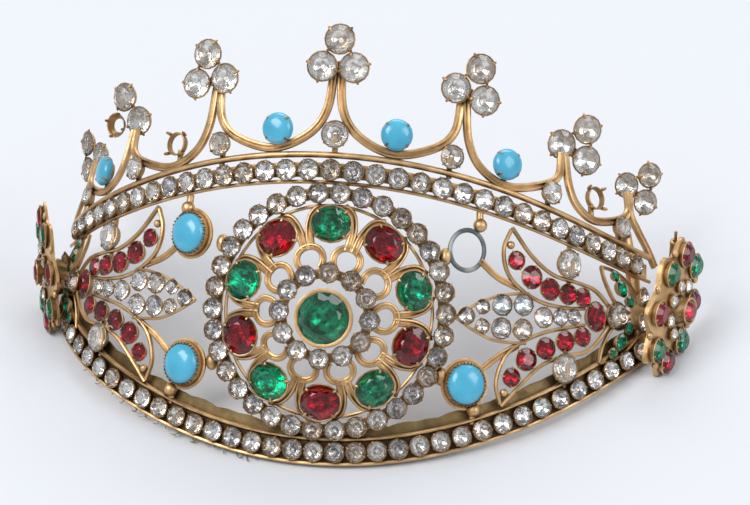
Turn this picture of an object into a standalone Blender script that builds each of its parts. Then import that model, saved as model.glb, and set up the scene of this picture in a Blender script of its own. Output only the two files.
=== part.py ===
"""Gilt metal tiara with a pierced, leaning front wall set with paste stones.

The wall is a cone. Every piece is laid out flat on the unrolled cone (x to the
right, y up the wall, n outward, in millimetres) and wall() rolls it up, tips it
back onto the table and gives metres. Front is -Y, up is +Z.
"""
import math
import bpy
import bmesh
from mathutils import Vector, Matrix

MM = 0.001

# Driving dimensions, millimetres and degrees
CONE_RADIUS = 75.0          # radius of the wall at the level y = 0
CONE_LEAN = 28.8            # wall's lean from the cone's own axis
TIP_BACK = 10.0             # the cone's axis leans back by this when it rests on the table
MERGE_ANGLES = (4.5, 4.0, 3.5, 3.0, 2.5, 2.0, 1.5, 1.0, 0.5)   # faces of a fused body that meet flatter join
STONE = 4.0                 # small stones across
LOWER_COUNT, UPPER_COUNT = 35, 33
END_X = 78.0                # the bands end here, under the side rosettes

# Height curves of the long wires: y = a + b x^2 + c x^4
LOWER_BAND = (-12.4, 0.0056, -1.65e-7)
UPPER_BAND = (44.45, -0.00384, 2.45e-7)

# Centre medallion
MED_X, MED_Y = 0.9, 15.9    # its centre on the wall, a little right of the middle
MED_SAG = 1.3               # the domed middle hangs this much lower than the rim
RING_R, RING_COUNT = 24.0, 34
CIRCLE_R = 21.7             # thin wire circle inside the ring of stones
OVAL_R, OVAL_COUNT = 18.0, 10
OVAL = (4.15, 3.65)         # half width round the medallion and half height across it
INNER_R, INNER_COUNT = 8.7, 12
LOOP_R, LOOP_SIZE = 11.4, 2.6
EMERALD = 5.2               # half width of the middle stone
DOME = 5.0                  # height of the medallion's middle above the wall

LEAN = math.radians(CONE_LEAN)
TIP = math.radians(TIP_BACK)
SLANT = CONE_RADIUS / math.sin(LEAN)        # distance from the level y = 0 to the apex


def wall(x, y, n=0.0):
    """A point of the unrolled wall, in metres, in the part's own frame."""
    rho = math.hypot(x, SLANT - y)
    turn = math.atan2(x, SLANT - y) / math.sin(LEAN)
    r = rho * math.sin(LEAN) + n * math.cos(LEAN)
    z = (SLANT - rho) * math.cos(LEAN) + n * math.sin(LEAN)
    cx, cy = r * math.sin(turn), -r * math.cos(turn)
    return Vector((cx, cy * math.cos(TIP) + z * math.sin(TIP),
                   z * math.cos(TIP) - cy * math.sin(TIP))) * MM


def axes(x, y):
    """Unit vectors along the wall to the right, up the wall, and outward."""
    step = 0.05
    right = (wall(x + step, y) - wall(x - step, y)).normalized()
    out = (wall(x, y, 1) - wall(x, y)).normalized()
    return right, out.cross(right), out


def curve(c, x):
    return c[0] + c[1] * x * x + c[2] * x ** 4


def close_mesh(bm):
    bmesh.ops.recalc_face_normals(bm, faces=bm.faces)
    if bm.calc_volume(signed=True) < 0:
        bmesh.ops.reverse_faces(bm, faces=bm.faces)


def loft(rings, closed=False):
    """A closed body through rings of world points with equal counts."""
    bm = bmesh.new()
    rows = [[bm.verts.new(p) for p in ring] for ring in rings]
    count = len(rows[0])
    pairs = list(zip(rows, rows[1:] + rows[:1])) if closed else list(zip(rows, rows[1:]))
    for low, high in pairs:
        for i in range(count):
            j = (i + 1) % count
            bm.faces.new((low[i], low[j], high[j], high[i]))
    if not closed:
        bm.faces.new(rows[0][::-1])
        bm.faces.new(rows[-1])
    close_mesh(bm)
    return bm


def smooth_path(points, steps):
    """Catmull-Rom points through a short list of (x, y, n)."""
    pts = [Vector(p) if len(p) == 3 else Vector((p[0], p[1], 0.0)) for p in points]
    pts = [2 * pts[0] - pts[1]] + pts + [2 * pts[-1] - pts[-2]]
    out = []
    for k in range(1, len(pts) - 2):
        a, b, c, d = pts[k - 1:k + 3]
        for s in range(steps):
            t = s / steps
            out.append(0.5 * (2 * b + (c - a) * t + (2 * a - 5 * b + 4 * c - d) * t * t
                              + (3 * b - a - 3 * c + d) * t ** 3))
    out.append(pts[-2])
    return out


def sweep(path, profile, closed=False):
    """Carry a profile of (across, outward) millimetres along wall points (x, y, n)."""
    pts = [wall(*p) for p in path]
    rings = []
    for k, p in enumerate(path):
        nxt = pts[(k + 1) % len(pts)] if closed else pts[min(k + 1, len(pts) - 1)]
        prv = pts[k - 1] if closed else pts[max(k - 1, 0)]
        along = (nxt - prv).normalized()
        out = axes(p[0], p[1])[2]
        side = along.cross(out).normalized()
        out = side.cross(along).normalized()
        rings.append([pts[k] + side * a * MM + out * b * MM for a, b in profile])
    return loft(rings, closed)


def round_profile(radius, sides=6):
    return [(radius * math.cos(2 * math.pi * i / sides + 0.3),
             radius * math.sin(2 * math.pi * i / sides + 0.3)) for i in range(sides)]


def wire(points, radius, steps, sides=5):
    return sweep(smooth_path(points, steps), round_profile(radius, sides))


def strip(points, half, low, high, closed=False):
    return sweep(points, [(-half, low), (half, low), (half, high), (-half, high)], closed)


def run(c, x0, x1, count):
    """Points along one of the long height curves."""
    places = [x0 + (x1 - x0) * i / (count - 1) for i in range(count)]
    return [(x, curve(c, x), 0.0) for x in places]


def turned(x, y, rx, ry, angle, rows, sides):
    """A body turned about the wall's normal: rows of (share of radius, height)."""
    right, up, out = axes(x, y)
    base = wall(x, y)
    ca, sa = math.cos(angle), math.sin(angle)
    rings = []
    for share, height in rows:
        ring = []
        for i in range(sides):
            t = 2 * math.pi * (i + 0.5) / sides
            a, b = rx * share * math.cos(t), ry * share * math.sin(t)
            ring.append(base + (right * (a * ca - b * sa) + up * (a * sa + b * ca) + out * height) * MM)
        rings.append(ring)
    return loft(rings)


def gem(x, y, rx, ry=None, angle=0.0, n=0.0, high=1.2, sides=8, table=0.58, girdle=0.0):
    """A cut stone: flat base, an optional girdle, one crown facet a side, a table."""
    ry = ry or rx
    rows = [(0.9, n), (1.0, n + girdle)] if girdle else [(1.0, n)]
    return turned(x, y, rx, ry, angle, rows + [(table, n + high)], sides)


def cabochon(x, y, rx, ry, angle, n, high, sides=12):
    rows = [(0.94, n), (1.0, n + 0.25 * high), (0.86, n + 0.62 * high), (0.5, n + 0.93 * high), (0.18, n + high)]
    return turned(x, y, rx, ry, angle, rows, sides)


def seat(x, y, r, n0, n1, ry=None, angle=0.0, sides=10):
    return turned(x, y, r, ry or r, angle, [(1.0, n0), (1.0, n1)], sides)


def ball(x, y, r, n, sides):
    rows = [(math.sin(a), n - r * math.cos(a)) for a in (0.5, 1.2, 1.94, 2.64)]
    return turned(x, y, r, r, 0.0, rows, sides)


def med(angle, radius):
    """A place on the medallion: x, y, and the dome's height there."""
    share = radius / RING_R
    x = MED_X + radius * math.sin(angle)
    y = MED_Y - MED_SAG * (1 - share) + radius * math.cos(angle)
    return x, y, DOME * max(0.0, 1 - (radius / CIRCLE_R) ** 2)


def material(name, colour, rough, metal):
    mat = bpy.data.materials.new(name)
    mat.use_nodes = True
    shader = mat.node_tree.nodes["Principled BSDF"]
    shader.inputs["Base Color"].default_value = (*colour, 1.0)
    shader.inputs["Roughness"].default_value = rough
    shader.inputs["Metallic"].default_value = metal
    mat.diffuse_color = (*colour, 1.0)
    return mat


GILT = (0.44, 0.25, 0.09), 0.38, 1.0
CLEAR = (0.62, 0.62, 0.64), 0.12, 0.0
GREEN = (0.0, 0.19, 0.1), 0.1, 0.0
RED = (0.30, 0.004, 0.02), 0.1, 0.0
BLUE = (0.09, 0.49, 0.72), 0.3, 0.0

made = []


def keep(name, bm, look):
    """Turn one closed body into a named object with its own material."""
    mesh = bpy.data.meshes.new(name)
    bm.to_mesh(mesh)
    bm.free()
    obj = bpy.data.objects.new(name, mesh)
    bpy.context.scene.collection.objects.link(obj)
    mesh.materials.append(material(name, *look))
    made.append(obj)
    return obj


def join(bodies):
    """All bodies in one mesh, not yet fused."""
    whole = bmesh.new()
    for bm in bodies:
        start = [whole.verts.new(v.co) for v in bm.verts]
        bm.verts.index_update()
        for f in bm.faces:
            whole.faces.new([start[v.index] for v in f.verts])
        bm.free()
    return whole


def drop_slivers(bm):
    """Delete the tiny loose shells that a union can leave where two faces nearly touch."""
    todo, tiny = set(bm.verts), []
    while todo:
        stack, shell = [todo.pop()], []
        while stack:
            vert = stack.pop()
            shell.append(vert)
            for edge in vert.link_edges:
                other = edge.other_vert(vert)
                if other in todo:
                    todo.remove(other)
                    stack.append(other)
        if len(shell) < 12:
            tiny += shell
    bmesh.ops.delete(bm, geom=tiny, context="VERTS")


def simplified(bm):
    """Join nearly flat faces by the widest angle that leaves the body closed."""
    for angle in MERGE_ANGLES:
        for method in ("BEAUTY", "EAR_CLIP"):
            trial = bm.copy()
            bmesh.ops.dissolve_limit(trial, angle_limit=math.radians(angle), verts=trial.verts,
                                     edges=trial.edges)
            bmesh.ops.triangulate(trial, faces=trial.faces, ngon_method=method)
            bmesh.ops.remove_doubles(trial, verts=trial.verts, dist=2e-6)
            drop_slivers(trial)
            if all(len(e.link_faces) == 2 for e in trial.edges):
                bm.free()
                return trial
            trial.free()
    return bm


def fuse(name, bodies, look):
    """Union of overlapping closed bodies as one object."""
    first = bodies[0]
    rest = join(bodies[1:])
    objs = []
    for part, bm in (("core", first), ("rest", rest)):
        mesh = bpy.data.meshes.new(name + "_" + part)
        bm.to_mesh(mesh)
        bm.free()
        obj = bpy.data.objects.new(mesh.name, mesh)
        bpy.context.scene.collection.objects.link(obj)
        objs.append(obj)
    mod = objs[0].modifiers.new("union", "BOOLEAN")
    mod.operation, mod.solver, mod.use_self = "UNION", "EXACT", True
    mod.object = objs[1]
    graph = bpy.context.evaluated_depsgraph_get()
    bm = bmesh.new()
    bm.from_mesh(bpy.data.meshes.new_from_object(objs[0].evaluated_get(graph)))
    for obj in objs:
        bpy.data.objects.remove(obj)
    bmesh.ops.remove_doubles(bm, verts=bm.verts, dist=2e-6)
    bmesh.ops.dissolve_degenerate(bm, edges=bm.edges, dist=2e-6)
    bm = simplified(bm)
    close_mesh(bm)
    return keep(name, bm, look)


def flatten_base(obj, level):
    """Cut away what hangs below the resting plane, and close the cut flat."""
    bm = bmesh.new()
    bm.from_mesh(obj.data)
    geom = bm.verts[:] + bm.edges[:] + bm.faces[:]
    cut = bmesh.ops.bisect_plane(bm, geom=geom, plane_co=(0, 0, level), plane_no=(0, 0, 1),
                                 clear_inner=True, dist=1e-7)
    edges = [e for e in cut["geom_cut"] if isinstance(e, bmesh.types.BMEdge)]
    bmesh.ops.holes_fill(bm, edges=edges, sides=0)
    close_mesh(bm)
    bm.to_mesh(obj.data)
    bm.free()


for old in list(bpy.data.objects):
    bpy.data.objects.remove(old)

SIDES = ((-1, "l"), (1, "r"))


# Long bands. Their profiles are (down the wall, outward).
LOWER_PROFILE = ((2.75, -1.9), (2.75, 0.45), (2.05, 0.45), (2.05, -0.4), (-2.2, -0.4), (-2.2, 0.3),
                 (-2.75, 0.3), (-2.75, -1.3), (-5.0, -1.3), (-5.0, -1.9))
UPPER_PROFILE = ((3.35, 0.1), (3.0, 0.4), (2.6, 0.1), (2.6, -0.5), (-2.2, -0.5), (-2.5, 0.3), (-3.05, 0.7),
                 (-3.65, 0.3), (-3.65, -0.6), (-3.1, -1.1), (3.2, -1.1))
BAND_SEGMENTS = 17


def bands():
    """The lower channel with its rails and inner ledge, and the upper rail with its thin wire."""
    return [sweep(run(LOWER_BAND, -END_X, END_X, BAND_SEGMENTS + 1), LOWER_PROFILE),
            sweep(run(UPPER_BAND, -END_X, END_X, BAND_SEGMENTS + 1), UPPER_PROFILE)]


def row_of_stones(name, places, size, level, closed):
    """One string: stones on the strip that holds their cups, one bend for two stones."""
    count = len(places)
    if closed:
        line = [places[i] for i in range(0, count, 2)]
        line = [(x, y, level) for x, y, *_ in line]
    else:
        mids = [((a[0] + b[0]) / 2, (a[1] + b[1]) / 2, level) for a, b in zip(places, places[1:])]
        first = (2 * places[0][0] - mids[0][0], 2 * places[0][1] - mids[0][1], level)
        last = (2 * places[-1][0] - mids[-1][0], 2 * places[-1][1] - mids[-1][1], level)
        line = [first] + mids[1::2] + [last]
    stones = [gem(p[0], p[1], 0.5 * size, n=level + 0.15, high=1.35) for p in places]
    return fuse(name, [strip(line, 0.5 * size + 0.05, 0.0, 0.4, closed)] + stones, CLEAR)


# Cresting: tips, bases and valleys of one half; x is mirrored for the other. A trefoil is
# (x, y, turn in its plane, turn towards the front).
PEAKS = ((0.0, 63.6), (26.5, 59.5), (52.0, 51.0), (73.8, 45.8))
BASES = ((0.4, 51.7), (24.5, 48.7), (48.5, 43.4), (69.7, 38.3))
VALLEYS = ((12.5, 48.4), (37.4, 43.8), (60.6, 39.0))
CUPS = ((12.2, 52.6), (36.9, 48.5), (60.7, 43.6))
TREFOILS = ((0.3, 67.1, 0, 0), (28.2, 63.6, 8, 18), (56.4, 55.0, 4, 38), (79.0, 49.4, 6, 42))
TREFOIL_STONE, TREFOIL_R = 3.1, 3.75
TIP_RISE = (0.8, 0.25, 0.55, 0.65)     # the arcs' ends run up under each trefoil by this


def arcs(side):
    """The U-shaped wires between the peaks, and the scroll down to the rosette."""
    bodies = []
    for k in range(3):
        (ax, ay), (vx, vy), (bx, by) = PEAKS[k], VALLEYS[k], PEAKS[k + 1]
        fall = ay - vy
        pts = [(ax + 0.45, ay + TIP_RISE[k]), (ax + 0.1 * (vx - ax) + 0.3, ay - 0.45 * fall),
               (ax + 0.42 * (vx - ax), vy + 0.2 * fall), (vx, vy),
               (bx - 0.42 * (bx - vx), vy + 0.16 * (by - vy)),
               (bx - 0.12 * (bx - vx), by - 0.5 * (by - vy)), (bx, by + TIP_RISE[k + 1])]
        bodies.append(wire([(side * x, y) for x, y in pts], 0.72, 1, 6))
    (px, py) = PEAKS[3]
    scroll = [(px, py + TIP_RISE[3]), (px - 0.6, py - 3.5), (px + 1.5, py - 7.0), (px + 4.6, py - 11.0), (px + 6.6, py - 14.5)]
    bodies.append(wire([(side * x, y) for x, y in scroll], 0.85, 1, 6))
    return bodies


def crest_seats(side):
    bodies = []
    for k in range(4):
        if k == 0 and side < 0:
            continue
        x, y = BASES[k][0] * side, BASES[k][1]
        bodies.append(seat(x, y, 2.5, -0.9, 0.1, sides=8))
        bodies.append(wire([(x, y - 4.4, -0.6), (x, y, -0.6)], 0.7, 1, 5))
    return bodies


def valley_cup(x, y):
    """The claw cup on the valley of an arc, open where its stone is lost."""
    return [seat(x, y, 2.9, -0.6, 0.2, sides=8), wire([(x, y - 4.4, -0.6), (x, y, -0.6)], 0.7, 1, 5)]


# Sprays at the two sides
TURQUOISE = (4.0, 4.3)      # half width and half height of the large cabochons
BALLS = ((31.4, 35.3), (32.0, -2.3))
RING_BALLS = (62.0, 116.0)  # degrees from the medallion's top to the balls on its ring
BALL = 1.5
RUBIES = ((40.3, 28.8), (44.0, 25.5), (48.5, 23.4), (53.2, 22.6), (57.4, 22.3), (60.8, 18.8),
          (57.1, 14.1), (52.6, 12.7), (47.9, 11.2), (43.4, 8.6), (40.2, 4.7))
RUBY, RUBY_END, RUBY_BIG = 2.2, 1.9, 3.0
PETALS = (((39.2, 35.4), (44.2, 29.8), (49.5, 26.4), (55.0, 25.4), (60.5, 24.0), (65.0, 20.4)),
          ((39.0, 34.9), (37.5, 31.0), (38.4, 26.4), (41.6, 23.0), (46.6, 20.6), (52.5, 19.8), (57.5, 20.0)),
          ((38.4, -1.2), (42.6, 3.4), (47.2, 7.6), (52.5, 9.8), (59.0, 11.6), (65.0, 17.8)),
          ((38.2, -0.8), (37.1, 3.6), (38.6, 8.6), (42.0, 11.8), (47.0, 14.2), (52.5, 15.6), (57.5, 16.6)))
STEMS = (((41.2, 23.2), (36.5, 25.0), (32.4, 28.2)), ((41.6, 11.4), (37.0, 8.6), (32.6, 4.8)))
BIG_CLEAR = ((53.4, 29.1), (52.6, 7.5), (66.6, 19.2))
LEAF_EDGE = ((27.9, 16.4), (31.6, 19.2), (36.5, 21.2), (41.5, 21.7), (45.6, 20.0), (49.0, 18.8), (54.6, 18.6),
             (54.6, 17.1), (49.0, 16.4), (45.6, 14.4), (41.5, 12.6), (36.5, 12.2), (31.6, 13.8))
STUD = (75.0, 21.0, 4.3)    # the post that carries the side rosette: x, y and its height
GREENS = (((65.5, 28.0), (67.6, 25.9), (69.6, 23.6), (71.2, 21.6)),
          ((65.2, 12.2), (67.2, 13.8), (69.2, 15.5), (70.8, 17.2)))


def flat_plate(outline, low, high):
    """A plate on the wall inside an outline of (x, y)."""
    bm = bmesh.new()
    top = [bm.verts.new(wall(x, y, high)) for x, y in outline]
    base = [bm.verts.new(wall(x, y, low)) for x, y in outline]
    bm.faces.new(top)
    bm.faces.new(base[::-1])
    for i in range(len(outline)):
        j = (i + 1) % len(outline)
        bm.faces.new((top[j], top[i], base[i], base[j]))
    bmesh.ops.triangulate(bm, faces=bm.faces)
    close_mesh(bm)
    return bm


def spray_metal(side):
    bodies = [ball(side * x, y, BALL, 0.0, 6) for x, y in BALLS]
    for turn in RING_BALLS:
        reach, a = RING_R + 0.5 * STONE + BALL - 0.6, math.radians(turn)
        bodies.append(ball(MED_X + side * reach * math.sin(a), MED_Y + reach * math.cos(a), BALL, -1.1, 6))
    bodies += [wire([(side * x, y) for x, y in path], 0.5, 1, 5) for path in PETALS + STEMS]
    bodies.append(seat(side * 29.8, 2.9, TURQUOISE[0] + 0.5, -0.9, 0.2, TURQUOISE[1] + 0.5, sides=12))
    if side > 0:
        ring = [(29.3 + 3.7 * math.cos(a), 30.1 + 4.3 * math.sin(a), -0.2)
                for a in (2 * math.pi * i / 14 for i in range(14))]
        bodies.append(sweep(ring, round_profile(0.55, 5), True))
    else:
        bodies.append(seat(-29.3, 30.1, TURQUOISE[0] + 0.5, -0.9, 0.2, TURQUOISE[1] + 0.5, sides=12))
    for x, y in BIG_CLEAR:
        bodies.append(seat(side * x, y, 3.1, -1.0, 0.1, sides=8))
    bodies.append(wire([(side * 61.0, 17.6, -0.5), (side * 66.0, 17.4, -0.5), (side * 73.6, 17.4, -0.8)], 0.6, 1, 5))
    bodies.append(wire([(side * 72.0, 38.0, -1.3), (side * 73.5, 28.0, -1.3), (side * 74.0, 18.0, -1.3),
                        (side * 74.0, 12.0, -1.3)], 1.5, 1, 6))
    bodies.append(seat(side * STUD[0], STUD[1], 2.6, -1.0, STUD[2], sides=8))
    bodies.append(wire([(side * 53.2, 24.0, -0.5), (side * 53.4, 33.4, -0.5)], 0.6, 1, 5))
    bodies.append(wire([(side * 52.6, 11.0, -0.5), (side * 52.4, 3.4, -0.5)], 0.6, 1, 5))
    return bodies


# Medallion
RING_PROFILE = ((-2.1, -1.1), (3.1, -1.1), (3.1, 0.3), (2.3, 0.3), (2.2, -0.4), (-2.1, -0.4))


def medallion_metal():
    ring = [med(2 * math.pi * i / 24, RING_R) for i in range(24)]
    bodies = [sweep([(x, y, 0) for x, y, _ in ring], RING_PROFILE, True)]
    for k in range(OVAL_COUNT):
        a = 2 * math.pi * k / OVAL_COUNT
        x, y, n = med(a, OVAL_R)
        bodies.append(seat(x, y, OVAL[0], n - 1.6, n - 0.3, OVAL[1] - 0.2, -a, 8))
        b = a + math.pi / OVAL_COUNT
        bar = [med(b, LOOP_R + LOOP_SIZE - 0.3), med(b, CIRCLE_R)]
        bodies.append(sweep([(p[0], p[1], p[2] - 0.5) for p in bar], [(-1.1, -0.6), (1.1, -0.6), (0.5, 0.6), (-0.5, 0.6)]))
        loop = []
        for i in range(7):
            t = -2.35 + 4.7 * i / 6
            x, y, n = med(b + LOOP_SIZE * math.sin(t) / LOOP_R, LOOP_R + LOOP_SIZE * math.cos(t))
            loop.append((x, y, n - 0.5))
        bodies.append(sweep(loop, round_profile(0.6, 5)))
    hub = [med(2 * math.pi * i / 15, 7.9) for i in range(15)]
    bodies.append(strip([(x, y, 0) for x, y, _ in hub], 2.6, 2.8, 3.5, True))
    x, y, n = med(0, 0)
    bodies.append(seat(x, y, 6.0, n - 2.3, n - 0.9, sides=12))
    return bodies


def frame_metal():
    bodies = bands() + medallion_metal()
    for side, _ in SIDES:
        bodies += arcs(side) + crest_seats(side) + spray_metal(side)
        for x, y in CUPS:
            bodies += valley_cup(side * x, y)
    return bodies


frame = fuse("frame", frame_metal(), GILT)

# Strings of stones
row_of_stones("lower_stone_row", run(LOWER_BAND, -72, 72, LOWER_COUNT), STONE - 0.1, 0.75, False)
row_of_stones("upper_stone_row", run(UPPER_BAND, -72, 72, UPPER_COUNT), STONE + 0.1, 1.0, False)
row_of_stones("medallion_stone_ring",
              [med(2 * math.pi * (i + 0.5) / RING_COUNT, RING_R) for i in range(RING_COUNT)],
              STONE, 0.8, True)
row_of_stones("inner_stone_ring",
              [med(2 * math.pi * (i + 0.1) / INNER_COUNT, INNER_R) for i in range(INNER_COUNT)],
              STONE - 0.1, 4.45, True)

# Middle stone and the ten ovals round it
cx, cy, cn = med(0, 0)
keep("emerald_centre", gem(cx, cy, EMERALD, n=cn - 0.6, high=2.8, sides=12, girdle=0.8), GREEN)
for k in range(OVAL_COUNT):
    a = 2 * math.pi * k / OVAL_COUNT
    x, y, n = med(a, OVAL_R)
    colour, look = (("green", GREEN), ("red", RED))[k % 2]
    keep("oval_%s_%02d" % (colour, k + 1), gem(x, y, *OVAL, -a, n, 2.3, 10), look)

# Turquoises; the upper right one is lost
for name, x, y in (("turquoise_lower_l", -29.8, 2.9), ("turquoise_lower_r", 29.8, 2.9),
                   ("turquoise_upper_l", -29.3, 30.1)):
    keep(name, cabochon(x, y, *TURQUOISE, 0.0, 0.5, 2.6), BLUE)
for name, x, y in (("turquoise_crest_1", -60.7, 43.6), ("turquoise_crest_2", -12.2, 52.6),
                   ("turquoise_crest_3", 12.2, 52.6), ("turquoise_crest_4", 36.9, 48.5)):
    keep(name, cabochon(x, y, 2.9, 2.9, 0.0, 0.5, 2.0, 10), BLUE)

# Crest stones: one at the foot of each peak, three on each tip
for side, tag in SIDES:
    for k in range(4):
        if k == 0 and side < 0:
            continue
        label = "crest_%s%d" % (tag, k) if k else "crest_centre"
        x, y = BASES[k][0] * side, BASES[k][1]
        keep(label + "_foot_stone", gem(x, y, 2.3, n=1.0, high=1.4), CLEAR)
        mx, my, tilt, yaw = TREFOILS[k]
        centre = wall(side * mx, my, 0.0 if k < 2 else -0.55)
        turn_in = Matrix.Rotation(-side * math.radians(yaw), 3, "Z")
        right, up, out = (turn_in @ v for v in axes(side * mx, my))

        def tip_body(du, dv, size, levels, sides):
            rings = []
            for share, height in levels:
                angles = [2 * math.pi * (j + 0.5) / sides for j in range(sides)]
                rings.append([centre + (right * (du + size * share * math.cos(t))
                                        + up * (dv + size * share * math.sin(t)) + out * height) * MM
                              for t in angles])
            return loft(rings)

        pieces = [tip_body(0, 0, 2.4, ((1.0, 0.9), (1.0, 1.7)), 6)]
        for i in range(3):
            turn = side * math.radians(tilt + 120 * i)
            du, dv = TREFOIL_R * math.sin(turn), TREFOIL_R * math.cos(turn)
            if side < 0 and k == 2 and i == 1:
                pieces.append(tip_body(du, dv, TREFOIL_STONE - 0.4, ((1.0, 0.9), (1.0, 1.5)), 8))
            else:
                pieces.append(tip_body(du, dv, TREFOIL_STONE, ((1.0, 1.1), (0.6, 2.9)), 8))
        fuse(label + "_trefoil", pieces, CLEAR)

# Sprays
for side, tag in SIDES:
    line = smooth_path([(side * x, y) for x, y in RUBIES], 1)
    sizes = [RUBY_END] + 4 * [RUBY] + [RUBY_BIG] + 4 * [RUBY] + [RUBY_END]
    stones = [gem(side * x, y, r, n=0.9, high=0.6 * r) for r, (x, y) in zip(sizes, RUBIES)]
    fuse("ruby_petals_" + tag, [strip(line, 2.05, 0.8, 1.2)] + stones, RED)
    edge = [(side * x, y) for x, y in LEAF_EDGE]
    keep("clear_leaf_" + tag, flat_plate(edge, 0.0, 1.2), CLEAR)
    for where, places in zip(("upper", "lower"), GREENS):
        line = smooth_path([(side * x, y) for x, y in places], 1)
        keep("green_leaf_%s_%s" % (where, tag), strip(line, 1.2, 1.0, 2.1), GREEN)
    for where, (x, y) in zip(("upper", "lower", "end"), BIG_CLEAR):
        keep("big_clear_%s_%s" % (where, tag), gem(side * x, y, 2.9, n=0.9, high=1.8, sides=10), CLEAR)

# Side rosettes: a plate with a raised boss and eight stones round it. The plate stands
# steeper than the wall: its centre, outward and long directions are given as they rest.
ROSETTE_RX, ROSETTE_RY = 10.0, 15.5
ROSETTE_OUT = Vector((0.894, -0.389, 0.22)).normalized()
ROSETTE_UP = Vector((0.207, 0.796, 0.568))
ROSETTE_UP = (ROSETTE_UP - ROSETTE_OUT * ROSETTE_UP.dot(ROSETTE_OUT)).normalized()
ROSETTE_SIDE = ROSETTE_UP.cross(ROSETTE_OUT)
DROP = math.hypot(ROSETTE_RX * ROSETTE_SIDE.z, ROSETTE_RY * ROSETTE_UP.z)
REST = min(v.co.z for v in frame.data.vertices) / MM
ROSETTE_AT = Vector((69.3, -37.9, REST + DROP))     # its lowest edge stands where the band does
STONE_RING = (0.7, 0.77)    # the ring of stones as shares of the plate's two radii
FIRST_STONE = 109.0         # degrees from the plate's short axis to the top ruby
LEFT_TURN = Matrix.Rotation(math.radians(-12.0), 3, "Z")    # the left plate faces a little more to the front


def plate_body(side, du, dv, rx, ry, levels, sides):
    """A body turned about the right rosette's normal; mirrored for the left."""
    rings = []
    for share, height in levels:
        ring = []
        for j in range(sides):
            t = 2 * math.pi * (j + 0.5) / sides
            reach = (ROSETTE_SIDE * (du + rx * share * math.cos(t)) + ROSETTE_UP * (dv + ry * share * math.sin(t))
                     + ROSETTE_OUT * height)
            p = ROSETTE_AT + (LEFT_TURN @ reach if side < 0 else reach)
            ring.append(Vector((side * p.x, p.y, p.z)) * MM)
        rings.append(ring)
    return loft(rings)


def rosette(side, tag):
    bodies = [plate_body(side, 0, 0, ROSETTE_RX, ROSETTE_RY, ((1.0, 0), (1.0, 1.0), (0.5, 2.2)), 16),
              plate_body(side, 1.0, 0, 4.4, 4.4, ((0.8, 1.0), (1.0, 3.2), (0.6, 5.2)), 10)]
    for i in range(8):
        a = math.radians(FIRST_STONE) + 2 * math.pi * i / 8
        du, dv = STONE_RING[0] * ROSETTE_RX * math.cos(a), STONE_RING[1] * ROSETTE_RY * math.sin(a)
        bodies.append(plate_body(side, du, dv, 2.5, 2.8, ((1.0, 0.7), (1.0, 1.6), (0.6, 3.2)), 8))
    return fuse("side_rosette_" + tag, bodies, GILT)


for side, tag in SIDES:
    rosette(side, tag)

# Hinge knuckle with its pin, behind the top of the right rosette: an upright tube
def upright(x, y, z0, z1, size, sides):
    ring = [(math.cos(2 * math.pi * i / sides), math.sin(2 * math.pi * i / sides)) for i in range(sides)]
    return loft([[Vector((x + size * c, y + size * s, z)) * MM for c, s in ring] for z in (z0, z1)])


KNUCKLE = (70.2, -27.2, REST + 16.6)
fuse("hinge_knuckle",
     [upright(*KNUCKLE[:2], KNUCKLE[2], KNUCKLE[2] + 4.6, 1.1, 8),
      upright(*KNUCKLE[:2], KNUCKLE[2] + 4.0, KNUCKLE[2] + 7.2, 0.35, 6)], GILT)

# The left end is bent in: beyond LEFT_BEND_FROM every point moves towards the middle
LEFT_BEND_FROM, LEFT_BEND = 45.0 * MM, 8.2
for obj in made:
    for vert in obj.data.vertices:
        beyond = -vert.co.x - LEFT_BEND_FROM
        if beyond > 0:
            vert.co.x += LEFT_BEND * beyond * beyond

# Rest the part on z = 0, with its worn lowest edges flat, and centre it
FLAT = 1.15 * MM
low = min(v.co.z for obj in made for v in obj.data.vertices)
for obj in made:
    if min(v.co.z for v in obj.data.vertices) < low + FLAT:
        flatten_base(obj, low + FLAT)
spots = [v.co for obj in made for v in obj.data.vertices]
mid = Vector((0.5 * (min(c.x for c in spots) + max(c.x for c in spots)),
              0.5 * (min(c.y for c in spots) + max(c.y for c in spots)),
              min(c.z for c in spots)))
for obj in made:
    obj.data.transform(Matrix.Translation(-mid))
    obj.data.update()
    print(obj.name, sum(len(p.vertices) - 2 for p in obj.data.polygons))
print("origin shift", tuple(round(c * 1000, 2) for c in mid),
      "triangles", sum(len(p.vertices) - 2 for o in made for p in o.data.polygons))
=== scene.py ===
"""Looks of a gilt tiara set with paste stones and turquoises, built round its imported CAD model.

Places are given as on the part itself: x to the right and y up the unrolled wall, n
outward from it, in millimetres. wall() rolls them up, and settle() bends in the left
end and moves the piece into the row frame.
"""
import math
import random

import bmesh
import bpy
from mathutils import Matrix, Vector


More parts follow.
